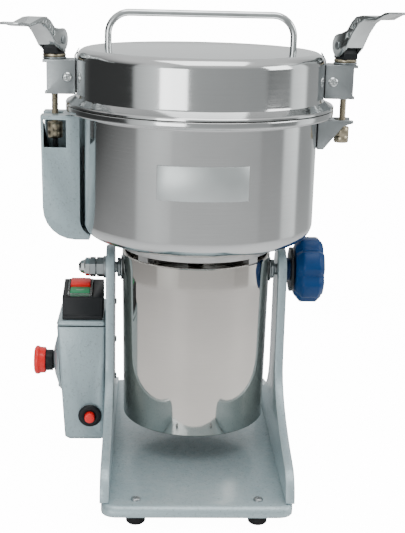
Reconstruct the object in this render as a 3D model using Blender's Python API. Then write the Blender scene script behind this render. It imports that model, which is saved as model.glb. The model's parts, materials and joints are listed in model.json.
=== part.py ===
"""Swing-type stainless powder grinder: a lidded grinding bowl on a motor, held in a U-frame.

Every piece is its own closed solid. Sizes below are in millimetres, with +Z up, the front
towards -Y and the origin on the ground under the middle of the frame. The helpers turn them
into metres. Pieces that touch on the real machine keep GAP between them.
"""
import math

import bmesh
import bpy
from mathutils import Matrix, Vector

MM = 0.001
GAP = 0.3

# frame
PLATE_HALF_X, PLATE_HALF_Y, PLATE_CORNER = 79.0, 145.0, 12.0
PLATE_TOP, LIP_LOW, PLATE_WALL, PLATE_BEND = 19.6, 10.6, 2.4, 6.0
ARM_IN, ARM_OUT, ARM_SHEET, ARM_FLANGE = 72.5, 80.0, 2.8, 2.4
ARM_HEAD_R, ARM_TOP = 22.0, 202.0
FLARE_END_Y = 138.0
FOOT_X, FOOT_Y, FOOT_R = 50.5, 130.0, 8.0

# tilt axis and its studs
TILT_Z = 182.0
STUD_R, STUD_HOLE_R = 5.0, 5.4
KNOB_BODY = (88.3, 114.5)
KNOB_R, KNOB_GROOVE, KNOB_LOBES = 29.5, 5.0, 6

# motor
HOUSING_TOP, HOUSING_LOW = 199.0, 46.0
HOUSING_R_TOP, HOUSING_R_LOW, HOUSING_WALL = 66.0, 64.0, 2.5
FLANGE_LOW, FLANGE_TOP = 204.4, 212.0
SHAFT_R = 7.0
STATOR = (108.0, 163.0)
ROTOR_R = 33.0

# bowl and lid
BOWL_R, BOWL_WALL, BOWL_FLOOR, BOWL_CORNER = 101.7, 2.5, 215.4, 14.0
RIM_R, RIM_LOW, RIM_TOP = 115.0, 322.5, 328.7
LID_R, LID_TOP, LID_LOW, LID_WALL, LID_EDGE = 106.0, 375.6, 329.4, 2.2, 9.0
HANDLE_X, HANDLE_Z, HANDLE_R, HANDLE_BEND = 79.0, 405.0, 3.0, 18.0

# latches: the rods hang at ROD_X on both sides and swing about SWING_Z
ROD_X, ROD_R, SWING_Z = 124.5, 3.0, 350.0
BLOCK_LOW, BLOCK_TOP = 336.7, 365.4
BARREL_R, BARREL_LOW, BARREL_TOP = 6.5, 298.0, 312.0
SLOT_HALF = BARREL_R + 0.35
EYE_Z, EYE_R = 381.3, 9.8
LEVER_HALF, LEVER_INSIDE = 8.5, 6.9
LEVER_TURN = 20.0
LEVER_DROP = {"right": 0.0, "left": -10.0}

# control box on the left arm
BOX_FRONT, BOX_BACK, BOX_RIGHT = -22.0, 50.0, -80.4
BOX_LOW, BOX_TOP = 23.5, 132.0
BOX_LEFT_LOW, BOX_LEFT_TOP, BOX_WALL = -117.0, -123.4, 2.0
ESTOP_Y, ESTOP_Z = 8.0, 90.0
RESET_X, RESET_Z = -94.0, 48.0
SWITCH_SLOPE = math.radians(14.0)
SWITCH_X = (-118.6, -82.6)
SWITCH_FRONT, SWITCH_BACK = -17.0, 16.0
SWITCH_EDGE_Z = 158.0

ROUND_BIG, ROUND_MID, ROUND_SMALL = 48, 24, 12


# ---------------------------------------------------------------- materials

def finish(name, colour, metallic, roughness):
    """A plain Principled material."""
    material = bpy.data.materials.new(name)
    material.use_nodes = True
    shader = material.node_tree.nodes["Principled BSDF"]
    shader.inputs["Base Color"].default_value = (*colour, 1.0)
    shader.inputs["Metallic"].default_value = metallic
    shader.inputs["Roughness"].default_value = roughness
    material.diffuse_color = (*colour, 1.0)
    return material


def make_finishes():
    """All finishes, by name."""
    table = {
        "polished_steel": ((0.62, 0.61, 0.59), 1.0, 0.16),
        "brushed_steel": ((0.60, 0.60, 0.60), 1.0, 0.28),
        "hammertone_paint": ((0.58, 0.64, 0.66), 0.3, 0.45),
        "zinc": ((0.45, 0.46, 0.46), 0.9, 0.42),
        "chrome": ((0.80, 0.80, 0.80), 1.0, 0.08),
        "brass_rod": ((0.46, 0.42, 0.33), 0.9, 0.35),
        "blue_plastic": ((0.005, 0.055, 0.16), 0.0, 0.35),
        "black_plastic": ((0.012, 0.014, 0.016), 0.0, 0.4),
        "red_plastic": ((0.75, 0.03, 0.025), 0.0, 0.35),
        "green_plastic": ((0.10, 0.45, 0.22), 0.0, 0.4),
        "clear_plastic": ((0.80, 0.85, 0.83), 0.0, 0.2),
        "rubber": ((0.02, 0.02, 0.02), 0.0, 0.8),
        "silicone": ((0.75, 0.75, 0.72), 0.0, 0.6),
        "cast_aluminium": ((0.55, 0.55, 0.55), 0.9, 0.5),
        "iron_laminate": ((0.25, 0.25, 0.26), 0.8, 0.5),
        "copper": ((0.60, 0.28, 0.13), 1.0, 0.35),
        "carbon": ((0.03, 0.03, 0.03), 0.1, 0.7),
        "blank_label": ((0.62, 0.63, 0.64), 0.4, 0.4),
    }
    return {name: finish(name, *values) for name, values in table.items()}


# ---------------------------------------------------------------- mesh helpers

def loft(loops, closed=False):
    """A solid through loops of equal length; a loop of one point is a pole.

    An open row of loops is capped at its ends; a closed row joins its last loop to its first.
    """
    bm = bmesh.new()
    rings = [[bm.verts.new(p) for p in loop] for loop in loops]
    pairs = list(zip(rings, rings[1:]))
    if closed:
        pairs.append((rings[-1], rings[0]))
    for low, high in pairs:
        count = max(len(low), len(high))
        for i in range(count):
            j = (i + 1) % count
            corners = [low[i % len(low)], low[j % len(low)], high[j % len(high)], high[i % len(high)]]
            bm.faces.new(list(dict.fromkeys(corners)))
    if not closed:
        for ring in (rings[0], rings[-1]):
            if len(ring) > 2:
                bm.faces.new(ring)
    return bm


def on_axis(axis, u, v, w):
    """The point with w along the axis and (u, v) on the other two axes, in X, Y, Z order."""
    if axis == "X":
        return Vector((w, u, v))
    if axis == "Y":
        return Vector((u, w, v))
    return Vector((u, v, w))


def circle(radius, count, centre=(0.0, 0.0)):
    """Points of a circle in the plane across an axis."""
    turn = 2 * math.pi / count
    return [
        (centre[0] + radius * math.cos(i * turn), centre[1] + radius * math.sin(i * turn))
        for i in range(count)
    ]


def turned(profile, count=ROUND_MID, centre=(0.0, 0.0), axis="Z"):
    """A body of revolution from (radius, height) points, closed unless it starts on the axis."""
    loops = []
    for radius, height in profile:
        points = circle(radius, count, centre) if radius > 0 else [centre]
        loops.append([on_axis(axis, u, v, height) for u, v in points])
    return loft(loops, closed=profile[0][0] > 0)


def cylinder(radius, low, high, centre=(0.0, 0.0), axis="Z", count=ROUND_SMALL):
    """A plain round bar."""
    return turned([(0, low), (radius, low), (radius, high), (0, high)], count, centre, axis)


def ring(inner, outer, low, high, centre=(0.0, 0.0), axis="Z", count=ROUND_MID):
    """A plain washer."""
    profile = [(outer, low), (outer, high), (inner, high), (inner, low)]
    return turned(profile, count, centre, axis)


def prism(outline, low, high, axis="Z"):
    """A closed outline extruded along an axis."""
    return loft([[on_axis(axis, u, v, w) for u, v in outline] for w in (low, high)])


def block(low, high):
    """A box between two corners."""
    outline = [(low[0], low[1]), (high[0], low[1]), (high[0], high[1]), (low[0], high[1])]
    return prism(outline, low[2], high[2])


def inset(outline, distance):
    """The outline moved inwards by a distance, for an outline that runs anticlockwise."""
    moved = []
    count = len(outline)
    for i, point in enumerate(outline):
        here = Vector(point)
        before = (here - Vector(outline[i - 1])).normalized()
        after = (Vector(outline[(i + 1) % count]) - here).normalized()
        normals = Vector((-before.y, before.x)), Vector((-after.y, after.x))
        middle = (normals[0] + normals[1]).normalized()
        moved.append(tuple(here + middle * distance / max(middle.dot(normals[0]), 0.5)))
    return moved


def pan(outline, floor_from, floor_to, rim, wall, axis="Z"):
    """An outline extruded from floor_from to rim, hollowed from the rim down to floor_to."""
    inner = inset(outline, wall)
    levels = [(outline, floor_from), (outline, rim), (inner, rim), (inner, floor_to)]
    return loft([[on_axis(axis, u, v, w) for u, v in points] for points, w in levels])


def arc(centre, radius, start, end, steps):
    """Points of a round stretch, with the angles in degrees."""
    angles = [math.radians(start + (end - start) * i / steps) for i in range(steps + 1)]
    return [(centre[0] + radius * math.cos(a), centre[1] + radius * math.sin(a)) for a in angles]


def rounded_rectangle(low, high, radius, steps=3):
    """An anticlockwise rectangle with round corners."""
    corners = [
        ((high[0] - radius, high[1] - radius), 0),
        ((low[0] + radius, high[1] - radius), 90),
        ((low[0] + radius, low[1] + radius), 180),
        ((high[0] - radius, low[1] + radius), 270),
    ]
    return [p for centre, start in corners for p in arc(centre, radius, start, start + 90, steps)]


def bezier(points, steps):
    """Points along a cubic curve, without its last one."""
    a, b, c, d = (Vector(p) for p in points)
    found = []
    for i in range(steps):
        t = i / steps
        s = 1 - t
        found.append(tuple(a * s**3 + b * 3 * s * s * t + c * 3 * s * t * t + d * t**3))
    return found


def swept(path, radius, count=ROUND_SMALL):
    """A round rod along a path that lies in the XZ plane."""
    points = [Vector(p) for p in path]
    loops = []
    for i, point in enumerate(points):
        along = points[min(i + 1, len(points) - 1)] - points[max(i - 1, 0)]
        along.normalize()
        side, across = Vector((0, 1, 0)), Vector((0, 1, 0)).cross(along)
        loops.append([point + side * u + across * v for u, v in circle(radius, count)])
    return loft(loops)


def hexagon(across, count, centre=(0.0, 0.0)):
    """A hexagon sampled at equal angles, so that it can be lofted to a circle."""
    points = []
    for i in range(count):
        angle = 2 * math.pi * i / count
        off = (angle + math.pi / 6) % (math.pi / 3) - math.pi / 6
        radius = across / 2 / math.cos(off)
        points.append((centre[0] + radius * math.cos(angle), centre[1] + radius * math.sin(angle)))
    return points


def nut(across, bore, low, high, centre=(0.0, 0.0), axis="Z", count=ROUND_SMALL):
    """A hexagonal nut."""
    outside, inside = hexagon(across, count, centre), circle(bore, count, centre)
    levels = [(outside, low), (outside, high), (inside, high), (inside, low)]
    return loft([[on_axis(axis, u, v, w) for u, v in pts] for pts, w in levels], closed=True)


def together(*parts):
    """Several separate solids in one mesh."""
    whole = bmesh.new()
    for part in parts:
        mesh = bpy.data.meshes.new("piece")
        part.to_mesh(mesh)
        part.free()
        whole.from_mesh(mesh)
        bpy.data.meshes.remove(mesh)
    return whole


def moved(bm, matrix):
    """The mesh carried by a matrix."""
    bmesh.ops.transform(bm, matrix=matrix, verts=bm.verts)
    return bm


# ---------------------------------------------------------------- objects

ZERO = {}


def axis_empty(name, place, parent=None):
    """An empty on a joint's axis, which carries the pieces that move about it."""
    empty = bpy.data.objects.new(name, None)
    bpy.context.collection.objects.link(empty)
    ZERO[name] = Vector(place)
    start = ZERO[parent.name] if parent else Vector()
    empty.location = (Vector(place) - start) * MM
    empty.parent = parent
    return empty


def piece(name, bm, material, parent=None, sharp=35.0):
    """Make an object from a mesh built at its place, with its origin where its parent's is."""
    zero = ZERO[parent.name] if parent else Vector()
    bmesh.ops.recalc_face_normals(bm, faces=bm.faces)
    bmesh.ops.transform(bm, matrix=Matrix.Scale(MM, 4) @ Matrix.Translation(-zero), verts=bm.verts)
    mesh = bpy.data.meshes.new(name)
    bm.to_mesh(mesh)
    bm.free()
    mesh.materials.append(material)
    mesh.shade_smooth()
    mesh.set_sharp_from_angle(angle=math.radians(sharp))
    obj = bpy.data.objects.new(name, mesh)
    bpy.context.collection.objects.link(obj)
    obj.parent = parent
    return obj


def cut(obj, *cutters, operation="DIFFERENCE"):
    """Take the cutters' shapes out of an object, or add them to it."""
    zero = ZERO[obj.parent.name] if obj.parent else Vector()
    for number, bm in enumerate(cutters):
        bmesh.ops.recalc_face_normals(bm, faces=bm.faces)
        place = Matrix.Scale(MM, 4) @ Matrix.Translation(-zero)
        bmesh.ops.transform(bm, matrix=place, verts=bm.verts)
        mesh = bpy.data.meshes.new(f"{obj.name}_cutter_{number}")
        bm.to_mesh(mesh)
        bm.free()
        tool = bpy.data.objects.new(mesh.name, mesh)
        bpy.context.collection.objects.link(tool)
        tool.parent = obj.parent
        tool.hide_render = True
        tool.display_type = "WIRE"
        modifier = obj.modifiers.new(tool.name, "BOOLEAN")
        modifier.operation = operation
        modifier.solver = "EXACT"
        modifier.object = tool
    return obj


# ---------------------------------------------------------------- frame

def arm_outline():
    """Side view of an arm as (y, z), anticlockwise: round head, waist, front and rear flares."""
    head = arc((0, ARM_TOP - ARM_HEAD_R), ARM_HEAD_R, 0, 180, 10)
    front = bezier([(-23, 103), (-23, 76), (-60, 58), (-114, 46)], 8)
    front += arc((-FLARE_END_Y + 26, 20), 26, 96, 168, 4) + [(-FLARE_END_Y, PLATE_TOP + GAP)]
    back = bezier([(23, 92), (23, 58), (60, 41), (118, 30)], 8)
    back += [(FLARE_END_Y - 4, 25), (FLARE_END_Y, PLATE_TOP + GAP)]
    return head + front + back[::-1]


def shortened(outline, amount):
    """The outline with its front and rear edges drawn in."""
    return [(x, y - math.copysign(amount, y)) for x, y in outline]


def build_frame(look):
    """Base pan, two arms with outturned flanges and four rubber feet."""
    paint = look["hammertone_paint"]
    outline = rounded_rectangle(
        (-PLATE_HALF_X, -PLATE_HALF_Y), (PLATE_HALF_X, PLATE_HALF_Y), PLATE_CORNER, 4
    )
    inner = inset(outline, PLATE_WALL)
    levels = [(shortened(outline, PLATE_BEND - x), PLATE_TOP - PLATE_BEND + z)
              for x, z in arc((0, 0), PLATE_BEND, 90, 0, 4)]
    levels += [(outline, LIP_LOW), (inner, LIP_LOW), (inner, PLATE_TOP - PLATE_BEND)]
    levels += [(shortened(inner, PLATE_BEND - PLATE_WALL), PLATE_TOP - PLATE_WALL)]
    piece("base_plate", loft([[Vector((*p, z)) for p in pts] for pts, z in levels]), paint)
    for side, name in ((-1, "left_arm"), (1, "right_arm")):
        floor, rim = side * ARM_IN, side * ARM_OUT
        shape = pan(arm_outline(), floor, floor + side * ARM_SHEET, rim, ARM_FLANGE, "X")
        arm = piece(name, shape, paint)
        low, high = sorted((floor - side * 5, rim + side * 5))
        cut(arm, cylinder(STUD_HOLE_R + 0.4, low, high, (0, TILT_Z), "X", ROUND_MID))
    under_plate = PLATE_TOP - PLATE_WALL - GAP
    foot = [(0, 0), (FOOT_R - 1, 0), (FOOT_R, 1), (FOOT_R + 1, under_plate), (0, under_plate)]
    for x, side in ((-FOOT_X, "left"), (FOOT_X, "right")):
        for y, end in ((-FOOT_Y, "front"), (FOOT_Y, "rear")):
            piece(f"{end}_{side}_foot", turned(foot, 16, (x, y)), look["rubber"])


# ---------------------------------------------------------------- control box

def box_loop(z, shrink=0.0):
    """Plan outline of the control box at a height: its left side leans outwards."""
    share = (z - BOX_LOW) / (BOX_TOP - BOX_LOW)
    left = BOX_LEFT_LOW + (BOX_LEFT_TOP - BOX_LEFT_LOW) * share
    low = (left + shrink, BOX_FRONT + shrink)
    high = (BOX_RIGHT - shrink, BOX_BACK - shrink)
    return [Vector((u, v, z)) for u, v in rounded_rectangle(low, high, 3.0)]


def build_control_box(look):
    """Open-topped box, its folded top, the switch housing and the fixed electrical fittings."""
    loops = [box_loop(BOX_LOW, 2.5), box_loop(BOX_LOW + 3), box_loop(BOX_TOP)]
    loops += [box_loop(BOX_TOP, BOX_WALL), box_loop(BOX_LOW + BOX_WALL, BOX_WALL + 1)]
    box = piece("control_box", loft(loops), look["hammertone_paint"])
    cut(
        box,
        cylinder(8.4, -140, -110, (ESTOP_Y, ESTOP_Z), "X", ROUND_MID),
        cylinder(6.6, BOX_FRONT - 5, BOX_FRONT + 6, (RESET_X, RESET_Z), "Y", ROUND_MID),
        cylinder(6.6, BOX_BACK - 6, BOX_BACK + 5, (-100, 60), "Y", ROUND_MID),
    )
    top_low = BOX_TOP + 1.0
    outline = rounded_rectangle((BOX_LEFT_TOP, BOX_FRONT), (BOX_RIGHT, BOX_BACK), 3.0)
    edge = [(outline, top_low), (outline, top_low + 3.2), (inset(outline, 1.6), top_low + 4.6)]
    top = piece("control_box_top", loft([[Vector((*p, z)) for p in pts] for pts, z in edge]),
                look["hammertone_paint"])
    cut(top, block((-113, -11, 120), (-89, 10, 145)))
    build_switch_housing(look, top_low + 4.6 + GAP)
    wall_x = BOX_LEFT_LOW + (BOX_LEFT_TOP - BOX_LEFT_LOW) * (ESTOP_Z - BOX_LOW) / (BOX_TOP - BOX_LOW)
    cone = [(28, -0.4), (26, -2.6), (13, -6.6), (9.4, -6.6), (9.4, -0.4)]
    lean = math.atan((BOX_LEFT_LOW - BOX_LEFT_TOP) / (BOX_TOP - BOX_LOW))
    seat = Matrix.Translation((wall_x, ESTOP_Y, ESTOP_Z)) @ Matrix.Rotation(-lean, 4, "Y")
    piece("estop_plate", moved(turned(cone, ROUND_MID, axis="X"), seat), look["hammertone_paint"])
    collar = [(9.8, -129.3), (9.8, -138.0), (4.4, -138.0), (4.4, -108.0), (8.0, -108.0), (8.0, -129.3)]
    piece("estop_collar", turned(collar, ROUND_MID, (ESTOP_Y, ESTOP_Z), "X"), look["black_plastic"])
    front = BOX_FRONT - GAP
    bezel = [(10.6, front), (10.6, front - 1.6), (9.4, front - 3.4), (5.2, front - 3.4)]
    bezel += [(5.2, BOX_FRONT + 16), (6.2, BOX_FRONT + 16), (6.2, front)]
    piece("breaker_bezel", turned(bezel, ROUND_MID, (RESET_X, RESET_Z), "Y"), look["black_plastic"])
    back = BOX_BACK + GAP
    gland = [(9.5, back), (9.5, back + 5), (7.5, back + 6), (6.6, back + 14), (4.0, back + 14)]
    gland += [(4.0, back - 12), (6.2, back - 12), (6.2, back)]
    piece("cable_gland", turned(gland, ROUND_MID, (-100, 60), "Y"), look["black_plastic"])


def build_switch_housing(look, floor):
    """Black housing with a sloped face, a clear frame and a recess for the two buttons."""
    rise = (SWITCH_BACK - SWITCH_FRONT) * math.tan(SWITCH_SLOPE)
    wall = [(SWITCH_FRONT, floor + 4), (SWITCH_FRONT, SWITCH_EDGE_Z)]
    wall += [(SWITCH_BACK, SWITCH_EDGE_Z + rise), (SWITCH_BACK, floor + 4)]
    foot = [(SWITCH_BACK + 1.5, floor + 4), (SWITCH_BACK + 1.5, floor)]
    foot += [(SWITCH_FRONT - 1.8, floor), (SWITCH_FRONT - 1.8, floor + 3)]
    outline = wall + foot
    housing = piece("switch_housing", prism(outline, *SWITCH_X, "X"), look["black_plastic"])
    cut(housing, sloped_block((-114.6, -92.0), -14.6, 13.6, -9.5, 8.0))
    frame = piece("switch_frame", sloped_block((-114.3, -92.3), -14.3, 13.3, -9.0, 2.4),
                  look["clear_plastic"])
    cut(frame, sloped_block((-112.4, -94.2), -12.8, 11.8, -12.0, 8.0))


def sloped_block(across, front, back, low, high):
    """A box square to the switch's sloped face, whose front edge is at SWITCH_FRONT."""
    shape = block((across[0], front, low), (across[1], back, high))
    hinge = Vector((0, SWITCH_FRONT, SWITCH_EDGE_Z))
    middle = Matrix.Translation((0, -SWITCH_FRONT, 0))
    return moved(shape, Matrix.Translation(hinge) @ Matrix.Rotation(SWITCH_SLOPE, 4, "X") @ middle)


def build_buttons(look):
    """The pieces that travel: start, stop, emergency stop and circuit-breaker reset."""
    piece("start_button", sloped_block((-112.0, -94.6), -12.4, -0.8, -5.0, 2.0), look["green_plastic"])
    piece("stop_button", sloped_block((-112.0, -94.6), -0.2, 11.4, -5.0, 4.6), look["red_plastic"])
    cap = [(0, -105.0), (3.9, -105.0), (3.9, -141.6), (10.3, -141.6), (10.3, -135.8), (12.0, -135.8)]
    cap += [(12.3, -141.0), (13.4, -142.4), (13.2, -145.0), (11.0, -146.3), (0, -146.3)]
    axis = axis_empty("estop_axis", (-140, ESTOP_Y, ESTOP_Z))
    piece("estop_button", turned(cap, ROUND_MID, (ESTOP_Y, ESTOP_Z), "X"), look["red_plastic"], axis)
    tip = BOX_FRONT - 9.0
    push = [(0, BOX_FRONT + 8), (4.7, BOX_FRONT + 8), (4.7, tip + 0.8), (3.9, tip), (0, tip)]
    axis = axis_empty("reset_axis", (RESET_X, BOX_FRONT, RESET_Z))
    piece("reset_button", turned(push, ROUND_SMALL, (RESET_X, RESET_Z), "Y"), look["red_plastic"], axis)


# ---------------------------------------------------------------- motor

def build_housing(look, head):
    """Motor housing, vented bottom cover and the flange that carries the bowl."""
    wall = HOUSING_WALL
    profile = [(HOUSING_R_TOP, HOUSING_TOP), (HOUSING_R_LOW, HOUSING_LOW)]
    profile += [(HOUSING_R_LOW - wall, HOUSING_LOW), (HOUSING_R_TOP - wall, HOUSING_TOP)]
    housing = piece("motor_housing", turned(profile, ROUND_BIG), look["polished_steel"], head)
    cut(housing, cylinder(STUD_HOLE_R, -80, 80, (0, TILT_Z), "X", ROUND_MID))
    low = HOUSING_LOW + 0.4
    cover = piece("motor_bottom_cover", cylinder(61.0, low, low + 2.6, count=ROUND_BIG),
                  look["black_plastic"], head)
    slots = []
    for i in range(10):
        slot = block((24, -3, low - 5), (50, 3, low + 8))
        slots.append(moved(slot, Matrix.Rotation(math.radians(36 * i), 4, "Z")))
    cut(cover, together(*slots))
    flange = [(67.0, FLANGE_LOW), (68.0, FLANGE_TOP - 2), (66.5, FLANGE_TOP), (60.0, BOWL_FLOOR - GAP)]
    flange += [(9.5, BOWL_FLOOR - GAP), (9.5, 205.0), (58.0, 205.0), (58.0, FLANGE_LOW)]
    body = piece("motor_flange", turned(flange, ROUND_BIG), look["cast_aluminium"], head)
    posts = []
    for angle in (46, 134, 226, 314):
        post = block((-5.6, -65.8, HOUSING_TOP + GAP), (5.6, -59.0, FLANGE_LOW + 3))
        posts.append(moved(post, Matrix.Rotation(math.radians(angle), 4, "Z")))
    cut(body, together(*posts), operation="UNION")


def build_motor(look, head):
    """The fixed inside of the motor: stator, end brackets, bearings and brushes."""
    low, high = STATOR
    piece("stator", ring(ROTOR_R + 0.8, 61.0, low, high, count=32), look["iron_laminate"], head)
    upper = [(61.5, 164.5), (61.5, 170), (26, 178), (17.4, 178), (17.4, 166), (26, 166), (26, 164.5)]
    lower = [(60.5, 62), (60.5, 66), (22, 70), (14.4, 70), (14.4, 58), (22, 58), (22, 62)]
    piece("upper_end_bracket", turned(upper, 32), look["cast_aluminium"], head)
    piece("lower_end_bracket", turned(lower, 32), look["cast_aluminium"], head)
    piece("upper_bearing", ring(SHAFT_R + GAP, 17.0, 167, 177), look["polished_steel"], head)
    piece("lower_bearing", ring(SHAFT_R + GAP, 14.0, 59, 69), look["polished_steel"], head)
    for side, name in ((-1, "left_brush"), (1, "right_brush")):
        brush = block((side * 40 - 21.4, -4, 92), (side * 40 + 21.4, 4, 102))
        piece(name, brush, look["carbon"], head)


def build_rotor(look, head):
    """Shaft, rotor core, commutator, fan and the blade stack, which spin together."""
    axis = axis_empty("rotor_axis", (0, 0, TILT_Z), head)
    bore = SHAFT_R + GAP
    collar = BOWL_FLOOR + BOWL_WALL + 1.2
    levels = [collar + 8, collar + 26]
    shaft = [(0, 52), (6, 52), (SHAFT_R, 54), (SHAFT_R, collar), (13, collar)]
    shaft += [(13, levels[0] - GAP), (SHAFT_R, levels[0] - GAP), (SHAFT_R, 262), (6, 264), (0, 264)]
    piece("motor_shaft", turned(shaft, 16), look["polished_steel"], axis)
    piece("rotor_core", ring(bore, ROTOR_R, STATOR[0] + 2, STATOR[1] - 2), look["iron_laminate"], axis)
    piece("commutator", ring(bore, 18.0, 88, 105), look["copper"], axis)
    fan = piece("cooling_fan", ring(bore, 46.0, 72, 84, count=32), look["black_plastic"], axis)
    gaps = []
    for i in range(9):
        gap = block((16, -4, 75), (60, 4, 90))
        gaps.append(moved(gap, Matrix.Rotation(math.radians(40 * i), 4, "Z")))
    cut(fan, together(*gaps))
    steel = look["brushed_steel"]
    piece("blade_spacer", ring(bore, 11.0, levels[0] + 3 + GAP, levels[1] - GAP), steel, axis)
    for name, reach, half, z, angle in (
        ("lower_blade", 92, 15, levels[0], 35), ("upper_blade", 78, 13, levels[1], 125)
    ):
        shape = moved(blade(reach, half, z, bore), Matrix.Rotation(math.radians(angle), 4, "Z"))
        piece(name, shape, steel, axis)
    piece("blade_nut", nut(19, bore, levels[1] + 3 + GAP, levels[1] + 13), steel, axis)


def blade(reach, half, z, bore):
    """A flat double blade, 3 mm thick, with slanted tips and a round hole."""
    count = ROUND_MID
    outside = []
    for u, v in circle(1.0, count):
        size = 1 / max(abs(u) / reach, abs(v) / half)
        x, y = u * size, v * size
        outside.append((x - 0.35 * y * math.copysign(1, x) * (abs(x) / reach) ** 2, y))
    inside = circle(bore, count)
    levels = [(outside, z), (outside, z + 3), (inside, z + 3), (inside, z)]
    return loft([[on_axis("Z", *p, w) for p in pts] for pts, w in levels], closed=True)


# ---------------------------------------------------------------- bowl

def build_bowl(look, head):
    """Grinding bowl, blank label plate, latch hook and the switch cover on its left side."""
    wall = BOWL_WALL
    outer = [(RIM_R - 16, RIM_TOP), (RIM_R - 1, RIM_TOP), (RIM_R, RIM_TOP - 1.4), (RIM_R, RIM_LOW + 1.6)]
    outer += [(RIM_R - 1.6, RIM_LOW), (BOWL_R + 2, RIM_LOW - 0.8), (BOWL_R, RIM_LOW - 3)]
    middle = (BOWL_R - BOWL_CORNER, BOWL_FLOOR + BOWL_CORNER)
    outer += arc(middle, BOWL_CORNER, 0, -90, 4)
    inner = arc(middle, BOWL_CORNER - wall, -90, 0, 3)
    profile = outer + [(9.5, BOWL_FLOOR), (9.5, BOWL_FLOOR + wall)] + inner
    piece("grinding_bowl", turned(profile, ROUND_BIG), look["brushed_steel"], head)
    half, radius = math.asin(36.5 / BOWL_R), BOWL_R + GAP
    loops = []
    for i in range(9):
        angle = -math.pi / 2 + half * (i / 4 - 1)
        c, s = math.cos(angle), math.sin(angle)
        corners = ((radius, 264), (radius + 0.5, 264), (radius + 0.5, 292), (radius, 292))
        loops.append([Vector((r * c, r * s, z)) for r, z in corners])
    piece("label_plate", loft(loops), look["blank_label"], head)
    build_hook(look, head)
    build_side_cover(look, head)


def build_hook(look, head):
    """Right hook: a slotted shelf on two gussets, under which the rod's barrel sits."""
    outline = [(102.1, 293), (107.5, 293), (124, 313.5), (132.5, 316), (132.5, 318.4), (102.1, 318.4)]
    hook = piece("right_hook", prism(outline, -12, 12, "Y"), look["zinc"], head)
    cut(
        hook,
        block((104.6, -9.6, 280), (140, 9.6, 315.9)),
        block((ROD_X - SLOT_HALF, -SLOT_HALF, 310), (140, SLOT_HALF, 325)),
    )


def build_side_cover(look, head):
    """Left cover over the lid switch, with a window for the latch barrel, and the switch in it."""
    left_top, left_low, low, inner, top = -135.3, -134.2, 212.0, -102.1, 319.6
    corner, sheet, half = 28.0, 2.0, 22.0
    middle = (-(BOWL_R - BOWL_CORNER), BOWL_FLOOR + BOWL_CORNER)
    outline = [(inner, top), (left_top, top)]
    outline += arc((left_low + corner, low + corner), corner, 180, 270, 6)
    outline += [(-94.0, low)] + arc(middle, BOWL_CORNER + 0.4, 249, 180, 4)
    cover = piece("side_cover", prism(outline, -half, half, "Y"), look["hammertone_paint"], head)
    hollow = [(inner + 3, top - sheet), (left_top + sheet, top - sheet)]
    hollow += arc((left_low + corner, low + corner), corner - sheet, 180, 270, 6)
    hollow += [(-98.0, low + sheet), (-98.0, 230.0)]
    cut(
        cover,
        prism(hollow, sheet - half, half - sheet, "Y"),
        block((-132.6, -30, 292.5), (-113.6, -15, 316)),
        block((-140, -18.4, 292.5), (-120, 12, 316)),
        block((-140, -SLOT_HALF, 300), (-ROD_X + SLOT_HALF, SLOT_HALF, 330)),
    )
    switch = piece("lid_switch", block((-131, -8, 268), (-108, 8, 288)), look["black_plastic"], head)
    cut(switch, cylinder(2.8, 280, 290, (-ROD_X, 0)))
    axis = axis_empty("plunger_axis", (-ROD_X, 0, 285), head)
    push = [(0, 283), (2.4, 283), (2.4, BARREL_LOW - GAP - 0.5), (0, BARREL_LOW - GAP)]
    piece("switch_plunger", turned(push, ROUND_SMALL, (-ROD_X, 0)), look["red_plastic"], axis)


# ---------------------------------------------------------------- tilt pivots

def build_pivots(look, head):
    """Headed studs through both arms, the left nut and dome nut, and the clamping knob."""
    centre, count = (0, TILT_Z), ROUND_MID
    for side, name, end in ((-1, "left_pivot_stud", 99.0), (1, "right_pivot_stud", 104.0)):
        profile = [(0, 56.0), (8.0, 56.0), (8.0, 61.5), (STUD_R, 61.5), (STUD_R, end), (0, end)]
        stud = turned([(r, side * x) for r, x in profile], 16, centre, "X")
        piece(name, stud, look["zinc"], head)
    bore, collar, hexed = (circle(STUD_HOLE_R, count, centre), circle(10, count, centre),
                           hexagon(16, count, centre))
    neck = circle(7.2, count, centre)
    levels = [(bore, -75.7), (collar, -75.7), (collar, -82.5), (hexed, -83.0), (hexed, -88.6)]
    levels += [(neck, -88.9), (neck, -89.3), (hexed, -89.6), (hexed, -94.5), (bore, -94.5)]
    shape = loft([[on_axis("X", u, v, w) for u, v in pts] for pts, w in levels], closed=True)
    piece("left_pivot_nut", shape, look["zinc"], head)
    levels = [(bore, -99.4), (bore, -94.8), (hexagon(15, count, centre), -94.8)]
    levels += [(hexagon(15, count, centre), -98.4), (circle(6.6, count, centre), -99.6)]
    levels += [(circle(5.6, count, centre), -102.6), (circle(3.2, count, centre), -104.9)]
    shape = loft([[on_axis("X", u, v, w) for u, v in pts] for pts, w in levels])
    piece("dome_nut", shape, look["chrome"], head)
    axis = axis_empty("knob_axis", (0, 0, TILT_Z), head)
    build_knob(look, axis)


def knob_loop(x, radius, groove):
    """A lobed outline across the knob's axis, with narrow grooves between wide lobes."""
    points = []
    count = 8 * KNOB_LOBES
    for i in range(count):
        angle = 2 * math.pi * i / count
        dip = max(0.0, math.cos(KNOB_LOBES * angle)) ** 2
        r = radius - groove * dip
        points.append(on_axis("X", r * math.cos(angle), TILT_Z + r * math.sin(angle), x))
    return points


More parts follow.
